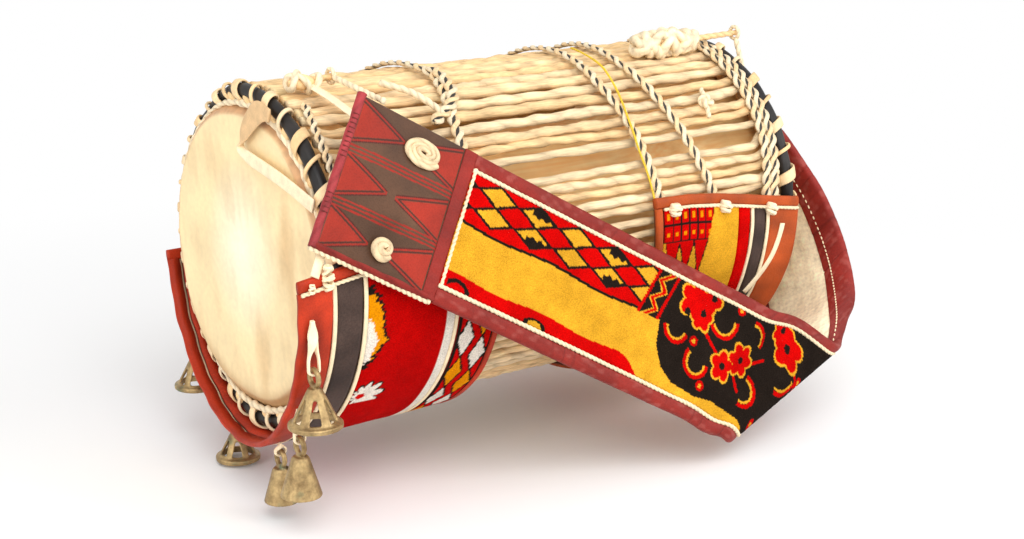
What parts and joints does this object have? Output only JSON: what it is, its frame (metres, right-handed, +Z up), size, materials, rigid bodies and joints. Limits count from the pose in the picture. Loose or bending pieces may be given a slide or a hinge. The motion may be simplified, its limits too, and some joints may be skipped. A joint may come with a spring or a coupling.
{
  "type": "talking drum",
  "caption": "Hourglass tension drum with laced heads, tension cords, carpet and leather aprons, small bells and a folded shoulder strap.",
  "frame": {"origin": "underneath the tension cords at mid length, where a cradle or a hand carries the drum", "axes": "+X along the drum's axis from the near head to the far head, +Z up, -Y the front with the strap"},
  "size_m": [0.4443, 0.2797, 0.269],
  "materials": {
    "wood": "oiled turned wood",
    "skin": "translucent rawhide",
    "hem": "rolled hide lacing",
    "ring_black": "glossy black wrapped ring",
    "rawhide": "twisted rawhide cord",
    "braid": "black and cream braid",
    "thread": "yellow thread",
    "red_leather": "worn red leather",
    "brown_leather": "orange-brown leather",
    "panel_leather": "tooled dark leather",
    "black_felt": "black felt",
    "carpet_red": "woven pile, mostly red",
    "carpet_yellow": "woven pile, mostly yellow",
    "cream_cord": "twisted cream thong",
    "suede": "rough pale suede",
    "brass": "aged brass with green patina",
    "iron": "dark iron"
  },
  "bodies": {
    "drum": {"shell": "wood", "head_near_skin": "skin", "head_far_skin": "skin", "flesh_hoop_near": "hem", "flesh_hoop_far": "hem", "hem_lacing_near": "hem", "hem_lacing_far": "hem", "ring_near": "ring_black", "ring_far": "ring_black", "ring_loops_near": "rawhide", "ring_loops_far": "rawhide", "tension_cords_top": "rawhide", "tension_cords_back_low": "rawhide", "tension_cords_under": "rawhide", "tension_cords_front_low": "rawhide", "braid_near_head": "braid", "braid_near_mid": "braid", "braid_far_inner": "braid", "braid_far_mid": "braid", "braid_far_outer": "braid", "yellow_thread": "thread", "cord_tail_tie": "rawhide", "apron_near_edge_leather": "red_leather", "apron_near_black_band": "black_felt", "apron_near_carpet": "carpet_red", "apron_near_diamond_strip": "carpet_red", "apron_near_binding": "red_leather", "apron_near_piping": "cream_cord", "apron_near_knots": "cream_cord", "apron_far_edge_leather": "brown_leather", "apron_far_black_band": "black_felt", "apron_far_red_band": "carpet_red", "apron_far_carpet": "carpet_yellow", "apron_far_binding": "brown_leather", "apron_far_piping": "cream_cord", "apron_far_knots": "cream_cord", "bell_thongs": "cream_cord", "lashing_knot_near": "rawhide", "lashing_knot_far": "rawhide", "loose_thong_near": "rawhide"},
    "strap": {"strap_carpet": "carpet_red", "strap_lining": "suede", "strap_binding_upper": "red_leather", "strap_binding_lower": "red_leather", "strap_piping": "cream_cord", "strap_end_panel": "panel_leather", "strap_panel_buttons": "panel_leather", "strap_tie_near": "cream_cord", "strap_tie_far": "cream_cord"},
    "squeeze_front_near": {"squeeze_cords_front_near": "rawhide"},
    "squeeze_front_far": {"squeeze_cords_front_far": "rawhide"},
    "squeeze_back_near": {"squeeze_cords_back_near": "rawhide"},
    "squeeze_back_far": {"squeeze_cords_back_far": "rawhide"},
    "bell_front_cage": {"bell_front_cage": "brass"},
    "bell_front_cone": {"bell_front_cone": "brass"},
    "clapper_front_cone": {"clapper_front_cone": "iron"},
    "bell_low_cone": {"bell_low_cone": "brass"},
    "clapper_low_cone": {"clapper_low_cone": "iron"},
    "bell_low_cage": {"bell_low_cage": "brass"},
    "bell_back_cage": {"bell_back_cage": "brass"}
  },
  "joints": [
    {"name": "squeeze_front_near", "type": "hinge", "parent": "drum", "child": "squeeze_front_near", "pos_m": [-0.171, -0.06824, 0.17022], "axis": [0, 0.682, 0.7314], "range_deg": [0, 6.5], "stiffness_Nm_per_rad": 1.5},
    {"name": "squeeze_front_far", "type": "hinge", "parent": "squeeze_front_near", "child": "squeeze_front_far", "pos_m": [0, -0.07796, 0.17929], "axis": [0, 0.682, 0.7314], "range_deg": [-13, 0]},
    {"name": "squeeze_back_near", "type": "hinge", "parent": "drum", "child": "squeeze_back_near", "pos_m": [-0.171, 0.07451, 0.16274], "axis": [0, 0.6018, -0.7986], "range_deg": [0, 6.5], "stiffness_Nm_per_rad": 1.5},
    {"name": "squeeze_back_far", "type": "hinge", "parent": "squeeze_back_near", "child": "squeeze_back_far", "pos_m": [0, 0.08513, 0.17074], "axis": [0, 0.6018, -0.7986], "range_deg": [-13, 0]},
    {"name": "front_cage_swing", "type": "hinge", "parent": "drum", "child": "bell_front_cage", "pos_m": [-0.206, -0.11641, 0.06645], "axis": [-1, 0, 0], "range_deg": [0, 50]},
    {"name": "front_cone_swing", "type": "hinge", "parent": "drum", "child": "bell_front_cone", "pos_m": [-0.205, -0.09559, 0.01866], "axis": [-1, 0, 0], "range_deg": [-10, 50]},
    {"name": "front_cone_clapper_swing", "type": "hinge", "parent": "bell_front_cone", "child": "clapper_front_cone", "pos_m": [-0.205, -0.09559, 0.00486], "axis": [-1, 0, 0], "range_deg": [-12, 12]},
    {"name": "low_cone_swing", "type": "hinge", "parent": "drum", "child": "bell_low_cone", "pos_m": [-0.199, -0.0608, -0.00101], "axis": [-1, 0, 0], "range_deg": [-35, 5]},
    {"name": "low_cone_clapper_swing", "type": "hinge", "parent": "bell_low_cone", "child": "clapper_low_cone", "pos_m": [-0.199, -0.0608, -0.01481], "axis": [-1, 0, 0], "range_deg": [-12, 12]},
    {"name": "low_cage_swing", "type": "hinge", "parent": "drum", "child": "bell_low_cage", "pos_m": [-0.177, 0.03741, -0.01194], "axis": [-1, 0, 0], "range_deg": [-40, 40]},
    {"name": "back_cage_swing", "type": "hinge", "parent": "drum", "child": "bell_back_cage", "pos_m": [-0.179, 0.09017, 0.02353], "axis": [-1, 0, 0], "range_deg": [-50, 12]},
    {"name": "strap_swing", "type": "hinge", "parent": "drum", "child": "strap", "pos_m": [0, -0.03236, 0.21944], "axis": [-1, 0, 0], "range_deg": [0, 90]}
  ],
  "couplings": [
    {"joint": "squeeze_front_far", "follows": "squeeze_front_near", "ratio": -2},
    {"joint": "squeeze_back_near", "follows": "squeeze_front_near", "ratio": 1},
    {"joint": "squeeze_back_far", "follows": "squeeze_front_near", "ratio": -2}
  ]
}
